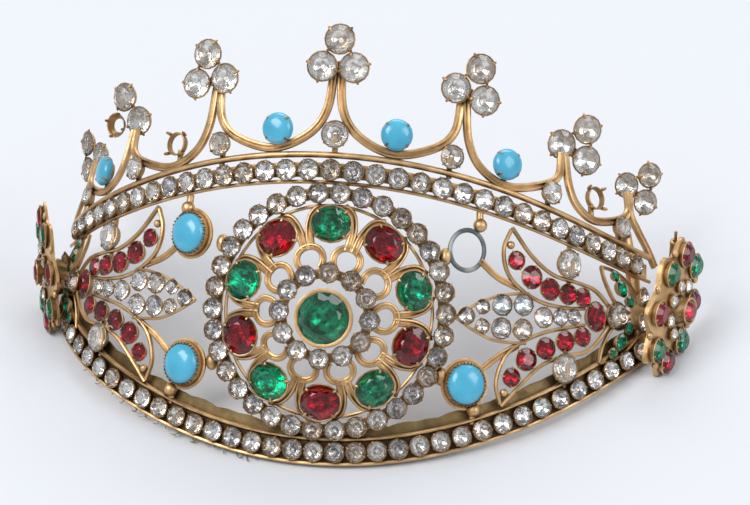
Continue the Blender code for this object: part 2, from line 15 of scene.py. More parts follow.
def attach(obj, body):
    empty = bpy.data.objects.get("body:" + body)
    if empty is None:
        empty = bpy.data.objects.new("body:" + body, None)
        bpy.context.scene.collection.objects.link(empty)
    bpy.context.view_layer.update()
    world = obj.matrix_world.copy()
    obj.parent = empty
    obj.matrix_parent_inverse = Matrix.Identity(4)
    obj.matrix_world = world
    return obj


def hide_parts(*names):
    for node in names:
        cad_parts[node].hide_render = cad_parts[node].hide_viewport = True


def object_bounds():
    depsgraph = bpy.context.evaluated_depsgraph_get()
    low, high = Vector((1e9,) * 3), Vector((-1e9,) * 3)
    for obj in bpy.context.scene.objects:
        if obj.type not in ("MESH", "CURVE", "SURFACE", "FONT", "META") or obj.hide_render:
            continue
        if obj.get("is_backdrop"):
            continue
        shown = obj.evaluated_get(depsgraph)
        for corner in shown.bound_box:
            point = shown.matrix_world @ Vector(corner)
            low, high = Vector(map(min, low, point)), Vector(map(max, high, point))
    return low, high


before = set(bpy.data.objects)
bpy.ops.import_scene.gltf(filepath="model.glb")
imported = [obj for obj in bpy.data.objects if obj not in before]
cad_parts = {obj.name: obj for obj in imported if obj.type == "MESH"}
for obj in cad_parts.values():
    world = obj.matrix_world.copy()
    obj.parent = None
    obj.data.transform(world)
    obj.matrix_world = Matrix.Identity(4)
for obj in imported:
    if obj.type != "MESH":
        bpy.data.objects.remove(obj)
cad_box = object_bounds()

MM = 0.001
FULL = 2 * math.pi

# The wall, as in the part's source
CONE_RADIUS, LEAN, TIP = 75.0, math.radians(28.8), math.radians(10.0)
SLANT = CONE_RADIUS / math.sin(LEAN)
LOWER_BAND = (-12.4, 0.0056, -1.65e-7)
UPPER_BAND = (44.45, -0.00384, 2.45e-7)
END_X = 78.0
ORIGIN = Vector((3.56, -45.63, 0.41)) * MM
REST = -0.74                     # the level that the side rosettes stand on, before the move
BEND_FROM, BEND = 45.0 * MM, 8.2

# Medallion
MED_X, MED_Y, MED_SAG, DOME = 0.9, 15.9, 1.3, 5.0
RING_R, RING_COUNT, CIRCLE_R = 24.0, 34, 21.7
OVAL_R, OVAL_COUNT = 18.0, 10
INNER_R, INNER_COUNT = 8.7, 12
LOOP_R, LOOP_SIZE = 11.4, 2.6
EMERALD = 5.2

SIDES = ((-1, "l"), (1, "r"))
random.seed(11)


def wall(x, y, n=0.0):
    rho = math.hypot(x, SLANT - y)
    turn = math.atan2(x, SLANT - y) / math.sin(LEAN)
    r = rho * math.sin(LEAN) + n * math.cos(LEAN)
    z = (SLANT - rho) * math.cos(LEAN) + n * math.sin(LEAN)
    cx, cy = r * math.sin(turn), -r * math.cos(turn)
    return Vector((cx, cy * math.cos(TIP) + z * math.sin(TIP),
                   z * math.cos(TIP) - cy * math.sin(TIP))) * MM


def axes(x, y):
    """Along the wall to the right, up the wall, and outward."""
    right = (wall(x + 0.05, y) - wall(x - 0.05, y)).normalized()
    out = (wall(x, y, 1) - wall(x, y)).normalized()
    return right, out.cross(right), out


def basis(right, up, out, at):
    place = Matrix((right, up, out)).transposed().to_4x4()
    place.translation = at
    return place


def spot(x, y, n=0.0, turn=0.0):
    """A place on the wall whose own unit is a millimetre, z outward."""
    return basis(*axes(x, y), wall(x, y, n)) @ Matrix.Rotation(turn, 4, "Z") @ Matrix.Scale(MM, 4)


def level_of(c, x):
    return c[0] + c[1] * x * x + c[2] * x ** 4


def med(angle, radius):
    """A place on the medallion, and the dome's height there."""
    share = radius / RING_R
    return (MED_X + radius * math.sin(angle), MED_Y - MED_SAG * (1 - share) + radius * math.cos(angle),
            DOME * max(0.0, 1 - (radius / CIRCLE_R) ** 2))


def flow(points, steps=5, closed=False):
    """A smooth line through a few places (x, y, n)."""
    pts = [Vector(p) if len(p) == 3 else Vector((p[0], p[1], 0.0)) for p in points]
    if closed:
        pts = [pts[-1]] + pts + [pts[0], pts[1]]
    else:
        pts = [2 * pts[0] - pts[1]] + pts + [2 * pts[-1] - pts[-2]]
    line = []
    for a, b, c, d in zip(pts, pts[1:], pts[2:], pts[3:]):
        for s in range(steps):
            t = s / steps
            line.append(0.5 * (2 * b + (c - a) * t + (2 * a - 5 * b + 4 * c - d) * t * t
                               + (3 * b - a - 3 * c + d) * t ** 3))
    return line if closed else line + [pts[-2]]


# Profiles of drawn metal: (across the run, outward), in millimetres
def round_bar(radius, sides=10, across=0.0, out=0.0, squash=1.0):
    turns = [FULL * i / sides for i in range(sides)]
    return [(across + radius * math.cos(t), out + radius * squash * math.sin(t)) for t in turns]


RIBBED = ((-0.72, -0.45), (-0.85, 0.0), (-0.66, 0.38), (-0.4, 0.46), (-0.16, 0.2), (0.0, 0.14),
          (0.16, 0.2), (0.4, 0.46), (0.66, 0.38), (0.85, 0.0), (0.72, -0.45))
CHANNEL = ((2.72, -1.9), (2.86, -0.7), (2.8, 0.3), (2.55, 0.5), (2.2, 0.38), (2.05, 0.1), (2.05, -0.4),
           (-2.1, -0.4), (-2.1, 0.2), (-2.3, 0.48), (-2.62, 0.5), (-2.84, 0.2), (-2.84, -0.8),
           (-2.75, -1.9))
# The bed is a thin sheet laid on the channel's floor that carries painted shade.
CHANNEL_SHADE_SHEET = ((-2.12, -0.45), (1.95, -0.45), (1.95, -0.3), (-2.12, -0.3))
LEDGE = ((-2.4, -1.9), (-2.4, -1.35), (-4.7, -1.4), (-4.85, -1.55), (-4.75, -1.85))
UPPER_RAIL = round_bar(0.66, 12, -3.05, 0.0, 1.1)
UPPER_WIRE = round_bar(0.4, 8, 2.5)
UPPER_STRIP = ((-1.5, -1.1), (1.5, -1.1), (1.5, -0.7), (-1.5, -0.7))
CIRCLE_WIRE = round_bar(0.36, 8, 2.6)
CIRCLE_STRIP = ((-1.2, -1.1), (1.2, -1.1), (1.2, -0.7), (-1.2, -0.7))
HUB_STRIP = ((-1.0, 2.8), (1.0, 2.8), (1.0, 3.3), (-1.0, 3.3))


def grown(profile, size):
    return [(a * size, b * size) for a, b in profile]


def grown_on(bm, edges):
    """Extrude a ring of edges in place; its new points and edges are still to be moved."""
    geom = bmesh.ops.extrude_edge_only(bm, edges=edges)["geom"]
    new = {g for g in geom if isinstance(g, bmesh.types.BMVert)}
    rim = [g for g in geom if isinstance(g, bmesh.types.BMEdge) and all(v in new for v in g.verts)]
    return new, rim


def drawn(path, profile, closed=False):
    """Metal drawn along wall places: its profile is extruded from one station to the next."""
    pts = [wall(*p) for p in path]
    stations = []
    for k, p in enumerate(path):
        ahead = pts[(k + 1) % len(pts)] if closed else pts[min(k + 1, len(pts) - 1)]
        behind = pts[k - 1] if closed else pts[max(k - 1, 0)]
        along = (ahead - behind).normalized()
        side = along.cross(axes(p[0], p[1])[2]).normalized()
        stations.append(basis(side, along, side.cross(along), pts[k]))
    bm = bmesh.new()
    ring = [bm.verts.new(stations[0] @ Vector((a * MM, 0, b * MM))) for a, b in profile]
    edges = [bm.edges.new((ring[i], ring[i - 1])) for i in range(len(ring))]
    for here, there in zip(stations, stations[1:] + stations[:1] * closed):
        new, edges = grown_on(bm, edges)
        bmesh.ops.transform(bm, matrix=there @ here.inverted(), verts=list(new))
    if closed:
        bmesh.ops.remove_doubles(bm, verts=bm.verts, dist=2e-6)
    else:
        bmesh.ops.holes_fill(bm, edges=[e for e in bm.edges if e.is_boundary], sides=0)
    bmesh.ops.recalc_face_normals(bm, faces=bm.faces)
    return bm


def pattern(bm):
    """Keep a shape as a mesh, to be placed as often as it is needed."""
    mesh = bpy.data.meshes.new("pattern")
    bm.to_mesh(mesh)
    bm.free()
    return mesh


def put(heap, shape, place=None):
    """Add a drawn shape, or a copy of a pattern at a place, to a heap."""
    if isinstance(shape, bmesh.types.BMesh):
        mesh = pattern(shape)
    else:
        mesh = shape.copy()
    if place is not None:
        mesh.transform(place)
    heap.from_mesh(mesh)
    bpy.data.meshes.remove(mesh)


def settle(name, heap, looks, stands_for, smooth=38.0):
    """Bend in the left end, move to the row frame, flatten what would pass the floor, hand over."""
    for vert in heap.verts:
        beyond = -vert.co.x - BEND_FROM
        if beyond > 0:
            vert.co.x += BEND * beyond * beyond
    bmesh.ops.translate(heap, verts=heap.verts, vec=-ORIGIN)
    for vert in heap.verts:
        vert.co.z = max(vert.co.z, 0.0)
    mesh = bpy.data.meshes.new(name)
    heap.to_mesh(mesh)
    heap.free()
    for look in looks:
        mesh.materials.append(look)
    if smooth:
        mesh.shade_smooth()
        mesh.set_sharp_from_angle(angle=math.radians(smooth))
    piece = bpy.data.objects.new(name, mesh)
    bpy.context.scene.collection.objects.link(piece)
    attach(piece, "root")
    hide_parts(*stands_for)
    return piece


# Finishes
def finish_of(name, rough, metal=0.0):
    look = bpy.data.materials.new(name)
    look.use_nodes = True
    shade = look.node_tree.nodes["Principled BSDF"]
    shade.inputs["Roughness"].default_value = rough
    shade.inputs["Metallic"].default_value = metal
    return look, look.node_tree, shade


def grain(tree, scale, detail=3.0):
    """Noise that is fixed to the piece; scale is in waves a metre."""
    where = tree.nodes.new("ShaderNodeTexCoord")
    noise = tree.nodes.new("ShaderNodeTexNoise")
    noise.inputs["Scale"].default_value = scale
    noise.inputs["Detail"].default_value = detail
    tree.links.new(where.outputs["Object"], noise.inputs["Vector"])
    return noise.outputs["Fac"]


def ramp(tree, value, stops):
    node = tree.nodes.new("ShaderNodeValToRGB")
    bar = node.color_ramp
    while len(bar.elements) < len(stops):
        bar.elements.new(0.5)
    for element, (at, colour) in zip(bar.elements, stops):
        element.position = at
        element.color = (*colour, 1.0) if len(colour) == 3 else colour
    tree.links.new(value, node.inputs["Fac"])
    return node.outputs["Color"]


def grey(value):
    return (value, value, value)


def blended(tree, share, first, second):
    node = tree.nodes.new("ShaderNodeMix")
    node.data_type = "RGBA"
    for value, socket in ((share, node.inputs[0]), (first, node.inputs[6]), (second, node.inputs[7])):
        if isinstance(value, bpy.types.NodeSocket):
            tree.links.new(value, socket)
        else:
            socket.default_value = value if isinstance(value, float) else (*value, 1.0)
    return node.outputs[2]


def bumped(tree, shade, value, distance):
    node = tree.nodes.new("ShaderNodeBump")
    node.inputs["Distance"].default_value = distance
    node.inputs["Strength"].default_value = 1.0
    tree.links.new(value, node.inputs["Height"])
    tree.links.new(node.outputs["Normal"], shade.inputs["Normal"])


def recess(tree, reach):
    """1 on open metal, falling to 0 in corners where dirt gathers."""
    node = tree.nodes.new("ShaderNodeAmbientOcclusion")
    node.samples = 6
    node.inputs["Distance"].default_value = reach
    return node.outputs["AO"]


def gilding(name, light, mid, dark, dirt, rough):
    """Worn gilt brass: cloudy colour, brown dirt in the corners, fine handling marks."""
    look, tree, shade = finish_of(name, 0.4, 1.0)
    cloud = ramp(tree, grain(tree, 260.0, 5.0), ((0.3, dark), (0.48, mid), (0.66, light)))
    open_metal = ramp(tree, recess(tree, 0.0013), ((0.25, grey(0.0)), (0.8, grey(1.0))))
    colour = blended(tree, open_metal, dirt, cloud)
    tree.links.new(colour, shade.inputs["Base Color"])
    metal = ramp(tree, open_metal, ((0.0, grey(0.55)), (0.6, grey(1.0))))
    tree.links.new(metal, shade.inputs["Metallic"])
    handled = ramp(tree, grain(tree, 900.0, 4.0), ((0.3, grey(rough[0])), (0.7, grey(rough[1]))))
    tree.links.new(handled, shade.inputs["Roughness"])
    bumped(tree, shade, grain(tree, 2600.0, 3.0), 0.00006)
    return look


def foil(name, bright, dull, at):
    """The tinned foil behind a stone, bright in places and dull in others."""
    look, tree, shade = finish_of(name, 0.22, 1.0)
    tree.links.new(ramp(tree, grain(tree, 620.0, 1.0), ((at - 0.1, dull), (at + 0.08, bright))),
                   shade.inputs["Base Color"])
    bumped(tree, shade, grain(tree, 1500.0, 1.0), 0.00005)
    return look


def paste(name, tint, rough, through, clouded):
    """Cut glass; the light passes to the foil and back."""
    look, tree, shade = finish_of(name, rough)
    shade.inputs["IOR"].default_value = 1.56
    shade.inputs["Transmission Weight"].default_value = through
    colour = ramp(tree, grain(tree, 420.0, 2.0), ((0.35, clouded), (0.6, tint)))
    tree.links.new(colour, shade.inputs["Base Color"])
    return look


# Metal: light, mid and dark colour, the colour of its dirt, and how rough it is
gilt = gilding("gilt_metal", (0.72, 0.49, 0.26), (0.6, 0.39, 0.19), (0.43, 0.27, 0.125),
               (0.12, 0.062, 0.026), (0.34, 0.52))
gilt_dark = gilding("gilt_metal_tarnished", (0.55, 0.36, 0.18), (0.4, 0.25, 0.115), (0.2, 0.12, 0.06),
                    (0.03, 0.018, 0.01), (0.4, 0.6))
# A darker copy of the gilt for the ledge inside the band: its dark olive-brown colour is painted shade,
# for the shadow that the ledge lies in.
gilt_inside_painted_shade = gilding("gilt_metal_inside_painted_shade", (0.26, 0.185, 0.09), (0.19, 0.135, 0.065), (0.12, 0.08, 0.04),
                     (0.07, 0.046, 0.02), (0.45, 0.62))
# A near-black copy of the gilt for the bed of the lower channel: its colour is painted shade, the shadow
# in the channel behind the stones.
gilt_recess_painted_shade = gilding("gilt_metal_recess_painted_shade", (0.2, 0.12, 0.06), (0.12, 0.07, 0.036), (0.06, 0.035, 0.02),
                      (0.02, 0.012, 0.007), (0.5, 0.7))
blackened = gilding("blackened_metal", (0.4, 0.42, 0.4), (0.17, 0.19, 0.19), (0.1, 0.1, 0.09),
                    (0.03, 0.03, 0.03), (0.45, 0.65))

# Paste: tint, roughness, how much light goes through, and the tint where it is clouded
clear_paste = paste("clear_paste", (1.0, 1.0, 1.0), 0.03, 1.0, (0.94, 0.93, 0.92))
cloudy_paste = paste("clear_paste_cloudy", (0.98, 0.98, 0.97), 0.06, 0.9, (0.92, 0.91, 0.88))
ruby_paste = paste("ruby_paste", (0.5, 0.006, 0.045), 0.03, 1.0, (0.38, 0.004, 0.035))
emerald_paste = paste("emerald_paste", (0.007, 0.54, 0.35), 0.03, 1.0, (0.004, 0.4, 0.25))
emerald_deep = paste("emerald_paste_deep", (0.003, 0.34, 0.2), 0.03, 1.0, (0.002, 0.25, 0.14))

# Foil: its bright and its dull colour, and how much of it has gone dull
silver_foil = foil("foil_silver", (1.0, 1.0, 0.99), (0.84, 0.82, 0.8), 0.5)
brown_foil = foil("foil_gone_brown", (0.96, 0.93, 0.89), (0.6, 0.51, 0.42), 0.52)
grey_foil = foil("foil_gone_grey", (0.95, 0.95, 0.96), (0.44, 0.43, 0.43), 0.5)
blue_foil = foil("foil_gone_blue", (0.88, 0.93, 0.94), (0.55, 0.63, 0.65), 0.5)
red_foil = foil("foil_under_ruby", (1.0, 0.5, 0.5), (0.3, 0.08, 0.1), 0.5)
green_foil = foil("foil_under_emerald", (0.5, 1.0, 0.8), (0.1, 0.34, 0.26), 0.5)
CLEAR_LOOKS = (clear_paste, silver_foil, brown_foil, grey_foil, blue_foil)
CLOUDY_LOOKS = (cloudy_paste, silver_foil, brown_foil, grey_foil, blue_foil)
RUBY_LOOKS = (ruby_paste, red_foil)
EMERALD_LOOKS = (emerald_paste, green_foil)

turquoise, tree, shade = finish_of("turquoise", 0.22)
cloud = ramp(tree, grain(tree, 180.0, 6.0),
             ((0.3, (0.045, 0.33, 0.5)), (0.6, (0.075, 0.41, 0.6)), (0.85, (0.14, 0.49, 0.65))))
tree.links.new(cloud, shade.inputs["Base Color"])
shade.inputs["Coat Weight"].default_value = 0.3
bumped(tree, shade, grain(tree, 500.0, 4.0), 0.00003)

lining, tree, shade = finish_of("old_lining_thread", 0.9)
cloud = ramp(tree, grain(tree, 1500.0, 3.0), ((0.35, (0.12, 0.1, 0.04)), (0.65, (0.42, 0.38, 0.2))))
tree.links.new(cloud, shade.inputs["Base Color"])


# Patterns, radius 1, z outward, girdle at z = 0
GIRDLE, CULET = 0.05, 0.15
TEETH = 34                       # teeth round a turquoise's bezel
CABOCHON_SIDES = 28


def cut_stone(sides, crown, table, depth, backing):
    """A paste stone cut facet by facet from a round rough; foil lies under the girdle."""
    bm = bmesh.new()
    bmesh.ops.create_cone(bm, cap_ends=True, segments=2 * sides, radius1=1, radius2=1, depth=3)

    def facet(turn, r, z, out, up):
        c, s = math.cos(turn), math.sin(turn)
        cut = bmesh.ops.bisect_plane(
            bm, geom=bm.verts[:] + bm.edges[:] + bm.faces[:], dist=1e-5, clear_outer=True,
            plane_co=(r * c, r * s, z), plane_no=(out * c, out * s, up))
        rim = [e for e in cut["geom_cut"] if isinstance(e, bmesh.types.BMEdge)]
        if len(rim) > 2:
            bmesh.ops.contextual_create(bm, geom=rim)

    facet(0, 0, crown, 0, 1)
    facet(0, 0, -depth, 0, -1)
    for k in range(sides):
        main = FULL * k / sides
        between = main + math.pi / sides
        facet(main, 1, GIRDLE, crown - GIRDLE, 1 - table)
        facet(main, 1, -GIRDLE, depth - GIRDLE, CULET - 1)
        star = 0.9 * table / math.cos(math.pi / sides)
        facet(between, star, crown, 0.5 * (crown - GIRDLE), 1 - table)
        facet(between, 0.985, -GIRDLE, 1.25 * (depth - GIRDLE), CULET - 1)
    bmesh.ops.recalc_face_normals(bm, faces=bm.faces)
    for face in bm.faces:
        face.material_index = backing if face.calc_center_median().z < -0.5 * GIRDLE else 0
        face.smooth = False
    return pattern(bm)


def spun(profile, steps=16, closed=True):
    """A turned shape: a profile of (radius, height) spun about z."""
    bm = bmesh.new()
    verts = [bm.verts.new((r, 0, z)) for r, z in profile]
    edges = [bm.edges.new(pair) for pair in zip(verts, verts[1:] + verts[:1] * closed)]
    bmesh.ops.spin(bm, geom=verts + edges, cent=(0, 0, 0), axis=(0, 0, 1), dvec=(0, 0, 0), angle=FULL,
                   steps=steps, use_merge=True)
    bmesh.ops.remove_doubles(bm, verts=bm.verts, dist=1e-5)
    bmesh.ops.recalc_face_normals(bm, faces=bm.faces)
    return pattern(bm)


def bead(across, up):
    bm = bmesh.new()
    bmesh.ops.create_uvsphere(bm, u_segments=across, v_segments=up, radius=1)
    return pattern(bm)


def domed():
    """A cabochon: a dome whose sides stand steep and whose top is low."""
    rows = [(0.0, -0.1), (0.96, -0.1), (1.0, 0.1), (0.985, 0.3), (0.93, 0.5), (0.83, 0.68),
            (0.68, 0.83), (0.48, 0.93), (0.25, 0.985), (0.0, 1.0)]
    return spun(rows, CABOCHON_SIDES, False)


def toothed():
    """A bezel whose edge is cut into small teeth that lie against the stone.

    Each row is the wall's radius and its heights at a tooth and between two teeth.
    """
    rows = ((1.02, 0.55, 0.55), (1.0, 0.74, 0.62), (0.94, 0.88, 0.62), (0.91, 0.84, 0.58),
            (0.95, 0.5, 0.5), (0.95, 0.0, 0.0), (1.0, 0.0, 0.0))
    bm = bmesh.new()
    bmesh.ops.create_circle(bm, cap_ends=False, segments=4 * TEETH, radius=1.0)
    edges = bm.edges[:]
    for radius, tip, gap in rows:
        new, edges = grown_on(bm, edges)
        for vert in new:
            turn = math.atan2(vert.co.y, vert.co.x)
            height = tip if math.cos(turn * TEETH) > 0 else gap
            vert.co = (radius * math.cos(turn), radius * math.sin(turn), height)
    bmesh.ops.remove_doubles(bm, verts=bm.verts, dist=1e-4)
    bmesh.ops.recalc_face_normals(bm, faces=bm.faces)
    return pattern(bm)


CLAW_LEAN = math.radians(38)
FOIL_SHARES = (0.4, 0.3, 0.3)    # silver, brown and grey, by chance
BLUE = 3                         # the backing that a few stones have
SMALL = [cut_stone(8, 0.5, 0.52, 0.62, backing) for backing in (1, 2, 3, 4)]
LARGE = [cut_stone(10, 0.5, 0.56, 0.62, backing) for backing in (1, 2, 3, 4)]
PRINCIPAL = cut_stone(12, 0.42, 0.66, 0.55, 1)
CUP = spun(((0.74, -0.95), (1.03, -0.2), (1.085, 0.06), (1.03, 0.13), (0.95, 0.08), (0.93, -0.1),
            (0.6, -0.9)))
BEAD, CLAW_BEAD, DOMED, TOOTHED = bead(16, 10), bead(6, 4), domed(), toothed()
COLLAR = spun(((1.05, -1.0), (1.12, -0.5), (1.08, 0.0), (1.16, 0.1), (1.15, 0.26), (1.04, 0.3),
               (0.96, 0.2), (0.94, -0.2), (0.9, -1.0)), 40)


def mounted(stones, metal, place, rx, shape, ry=None, claws=5, first=0.3, grip=0.34, tall=1.0):
    """One stone in its cup, with claws bent over its edge."""
    ry = ry or rx
    stretch = Matrix.Diagonal((rx, ry, 0.5 * (rx + ry), 1))
    spin = Matrix.Rotation(random.uniform(0, FULL), 4, "Z")
    put(stones, shape, place @ stretch @ (spin if rx == ry else Matrix.Identity(4)))
    put(metal, CUP, place @ stretch @ Matrix.Diagonal((1, 1, tall, 1)))
    for k in range(claws):
        angle = first + FULL * k / claws + (random.uniform(-0.12, 0.12) if claws > 4 else 0)
        tip = Matrix.Translation((rx * math.cos(angle), ry * math.sin(angle), 0.13 * rx))
        lean = Matrix.Rotation(angle, 4, "Z") @ Matrix.Rotation(CLAW_LEAN, 4, "Y")
        size = Matrix.Diagonal((grip * 1.35, grip * 0.62, grip * 0.5, 1))
        put(metal, CLAW_BEAD, place @ tip @ lean @ size)


def any_clear():
    """A clear stone whose foil is silver, brown or grey."""
    return SMALL[random.choices(range(3), FOIL_SHARES)[0]]


def any_turn():
    return random.uniform(0, 1.5)


# Lower band: a channel with a thin upper and a worn lower rail, and the ledge inside it
ROW_END = 72                     # where the rows' last stones sit
LOWER_COUNT, LOWER_STONE, LOWER_OUT = 35, 1.95, 0.98
BLUE_IN_LOWER_ROW = 28
UPPER_COUNT, UPPER_STONE, UPPER_OUT = 33, 2.1, 1.2


def run(c, x0, x1, count, n=0.0, wave=0.0):
    """Evenly spaced places along a band; wave makes its line uneven."""
    line = []
    for i in range(count):
        x = x0 + (x1 - x0) * i / (count - 1)
        line.append((x, level_of(c, x) + wave * math.sin(0.9 * x) * math.sin(0.23 * x + 1), n))
    return line


line = run(LOWER_BAND, -END_X, END_X, 79)
settle("lower_band_channel", drawn(line, CHANNEL), (gilt,), ("frame",))
ledge = drawn(run(LOWER_BAND, -END_X, END_X, 157, wave=0.3), LEDGE)
# The inner ledge is coloured with painted shade.
settle("inner_ledge", ledge, (gilt_inside_painted_shade,), ("frame",))
# The channel's bed: a thin sheet over its floor, coloured as painted shade.
settle("lower_channel_bed_painted_shade", drawn(line, CHANNEL_SHADE_SHEET), (gilt_recess_painted_shade,), ("frame",))

stones, cups = bmesh.new(), bmesh.new()
for i, (x, y, n) in enumerate(run(LOWER_BAND, -ROW_END, ROW_END, LOWER_COUNT, LOWER_OUT)):
    shape = SMALL[BLUE] if i == BLUE_IN_LOWER_ROW else any_clear()
    mounted(stones, cups, spot(x, y, n), LOWER_STONE, shape, claws=4, first=any_turn(), grip=0.36)
settle("lower_row_stones", stones, CLEAR_LOOKS, ("lower_stone_row",), 0)
settle("lower_row_cups", cups, (gilt_dark,), ("lower_stone_row",))

# Upper band: a thick rail over a thin wire, with the stones' cups between them
upper = bmesh.new()
line = run(UPPER_BAND, -END_X, END_X, 79)
for profile in (UPPER_RAIL, UPPER_WIRE, UPPER_STRIP):
    put(upper, drawn(line, profile))
settle("upper_band_wires", upper, (gilt,), ("frame",))

stones, cups = bmesh.new(), bmesh.new()
for x, y, n in run(UPPER_BAND, -ROW_END, ROW_END, UPPER_COUNT, UPPER_OUT):
    y -= 0.4 * min(1.0, abs(x) / 20)      # away from the middle the row lies closer to the wire
    mounted(stones, cups, spot(x, y, n), UPPER_STONE, any_clear(), first=any_turn())
settle("upper_row_stones", stones, CLEAR_LOOKS, ("upper_stone_row",), 0)
settle("upper_row_cups", cups, (gilt_dark,), ("upper_stone_row",))

# Medallion
RING_STONE, RING_OUT, RING_SHIFT = 2.03, 1.0, 0.3       # shift: of the first stone, in stones
INNER_STONE, INNER_OUT, INNER_SHIFT = 1.98, 4.7, 0.1
OVAL_RX, OVAL_RY = 4.1, 3.6
HUB_R = 8.5
# Two arms stand between each pair of ovals, swung to either side of the halfway line
ARM = ((13.4, 0.05, -0.55), (15.2, 0.05, -0.35), (17.0, 0.055, -0.35), (18.8, 0.08, -0.35),
       (20.4, 0.125, -0.35), (21.5, 0.21, -0.35))       # radius, swing, lift

stones, cups = bmesh.new(), bmesh.new()
for i in range(RING_COUNT):
    x, y, _ = med(FULL * (i + RING_SHIFT) / RING_COUNT, RING_R)
    mounted(stones, cups, spot(x, y, RING_OUT), RING_STONE, any_clear(), first=any_turn())
settle("ring_stones", stones, CLEAR_LOOKS, ("medallion_stone_ring",), 0)
settle("ring_cups", cups, (gilt_dark,), ("medallion_stone_ring",))

stones, cups = bmesh.new(), bmesh.new()
for i in range(INNER_COUNT):
    x, y, _ = med(FULL * (i + INNER_SHIFT) / INNER_COUNT, INNER_R)
    mounted(stones, cups, spot(x, y, INNER_OUT), INNER_STONE, any_clear(), claws=4, first=any_turn())
settle("inner_ring_stones", stones, CLEAR_LOOKS, ("inner_stone_ring",), 0)
settle("inner_ring_cups", cups, (gilt_dark,), ("inner_stone_ring",))


def round_line(radius, count):
    """A flat circle on the wall round the medallion's middle."""
    return [(*med(FULL * i / count, radius)[:2], 0) for i in range(count)]


metal = bmesh.new()
circle = round_line(RING_R, 120)
put(metal, drawn(circle, CIRCLE_WIRE, True))
put(metal, drawn(circle, CIRCLE_STRIP, True))
for k in range(OVAL_COUNT):
    mid = FULL * (k + 0.5) / OVAL_COUNT
    for way in (-1, 1):
        arm = []
        for radius, swing, lift in ARM:
            x, y, n = med(mid + way * swing, radius)
            arm.append((x, y, n + lift))
        put(metal, drawn(flow(arm, 4), grown(RIBBED, 1.05)))
    loop = []
    for i in range(19):
        t = -2.35 + 4.7 * i / 18
        x, y, n = med(mid + LOOP_SIZE * math.sin(t) / LOOP_R, LOOP_R + LOOP_SIZE * math.cos(t))
        loop.append((x, y, n - 0.4))
    put(metal, drawn(loop, grown(RIBBED, 0.84)))
put(metal, drawn(round_line(HUB_R, 48), HUB_STRIP, True))
x, y, n = med(0, 0)
put(metal, COLLAR, spot(x, y, n) @ Matrix.Diagonal((EMERALD, EMERALD, 2.2, 1)))
settle("medallion_openwork", metal, (gilt,), ("frame",))

stones = bmesh.new()
put(stones, PRINCIPAL, spot(x, y, n + 0.25) @ Matrix.Scale(EMERALD, 4))
settle("emerald_of_medallion", stones, (emerald_deep, green_foil), ("emerald_centre",), 0)

collets = bmesh.new()
for k in range(OVAL_COUNT):
    a = FULL * k / OVAL_COUNT
    x, y, n = med(a, OVAL_R)
    colour, looks = (("green", EMERALD_LOOKS), ("red", RUBY_LOOKS))[k % 2]
    stones = bmesh.new()
    mounted(stones, collets, spot(x, y, n + 0.4, -a), OVAL_RX, LARGE[0], OVAL_RY, claws=4,
            first=math.pi / 4, grip=0.5, tall=0.75)
    settle("paste_oval_%s_%02d" % (colour, k + 1), stones, looks, ("oval_%s_%02d" % (colour, k + 1),), 0)
settle("oval_collets", collets, (gilt,), ("frame",))

# Cresting, from the middle outward; places on the left are mirrored unless they are given
PEAKS = ((0.0, 63.6), (26.5, 59.5), (52.0, 51.0), (73.8, 45.8))
TIP_RISE = (2.0, 1.5, 1.4, 1.2)           # the arcs run on under the trefoils
VALLEYS = ((12.5, 48.4), (37.4, 43.8), (60.6, 39.0))
BASES = ((0.4, 51.7), (24.2, 48.7), (47.6, 43.4), (68.4, 38.3))
FOOT_STONES = (2.65, 2.35, 2.35, 2.35)
TREFOILS = ((0.3, 67.1, 0, 0), (28.2, 63.6, 8, 18), (56.4, 55.0, 4, 40), (79.0, 49.4, 6, 50))
LEFT_TREFOILS = {1: (28.2, 63.6, 0), 2: (56.6, 56.2, -14)}      # x, y and tilt
TREFOIL_SIZES = ((3.75, 2.95), (3.75, 2.95), (3.75, 2.95), (3.4, 2.65))
LOST_STONE = (-1, 2, 1)                   # side, peak and stone
VALLEY_CUPS = {-1: ((-11.4, 52.3), (-35.4, 48.5), (-60.7, 43.4)),
               1: ((12.7, 52.3), (36.5, 48.2), (60.0, 43.6))}
EMPTY_CUPS = ((-1, 1), (1, 2))            # side and valley

crest = bmesh.new()
for side, tag in SIDES:
    for k in range(3):
        (ax, ay), (vx, vy), (bx, by) = PEAKS[k], VALLEYS[k], PEAKS[k + 1]
        fall = ay - vy
        pts = [(ax + 0.75, ay + TIP_RISE[k], -0.5),
               (ax + 0.1 * (vx - ax) + 0.35, ay - 0.45 * fall, 0.0),
               (ax + 0.42 * (vx - ax), vy + 0.2 * fall), (vx, vy),
               (bx - 0.42 * (bx - vx), vy + 0.16 * (by - vy)),
               (bx - 0.12 * (bx - vx), by - 0.5 * (by - vy)),
               (bx - 0.3, by + TIP_RISE[k + 1], -0.5)]
        put(crest, drawn(flow([(side * p[0], *p[1:]) for p in pts], 6), grown(RIBBED, 1.1)))
    px, py = PEAKS[3]
    scroll = [(px, py + TIP_RISE[3]), (px - 0.6, py - 3.5), (px + 1.5, py - 7.0),
              (px + 4.6, py - 11.0), (px + 6.6, py - 14.5)]
    put(crest, drawn(flow([(side * x, y) for x, y in scroll], 6), grown(RIBBED, 1.15)))
settle("cresting_arcs", crest, (gilt,), ("frame",))


def little_post(heap, x, y0, y1):
    """The upright that holds a cup over the rail."""
    put(heap, drawn([(x, y0, -0.5), (x, 0.5 * (y0 + y1), -0.5), (x, y1, -0.5)], round_bar(0.6, 8)))


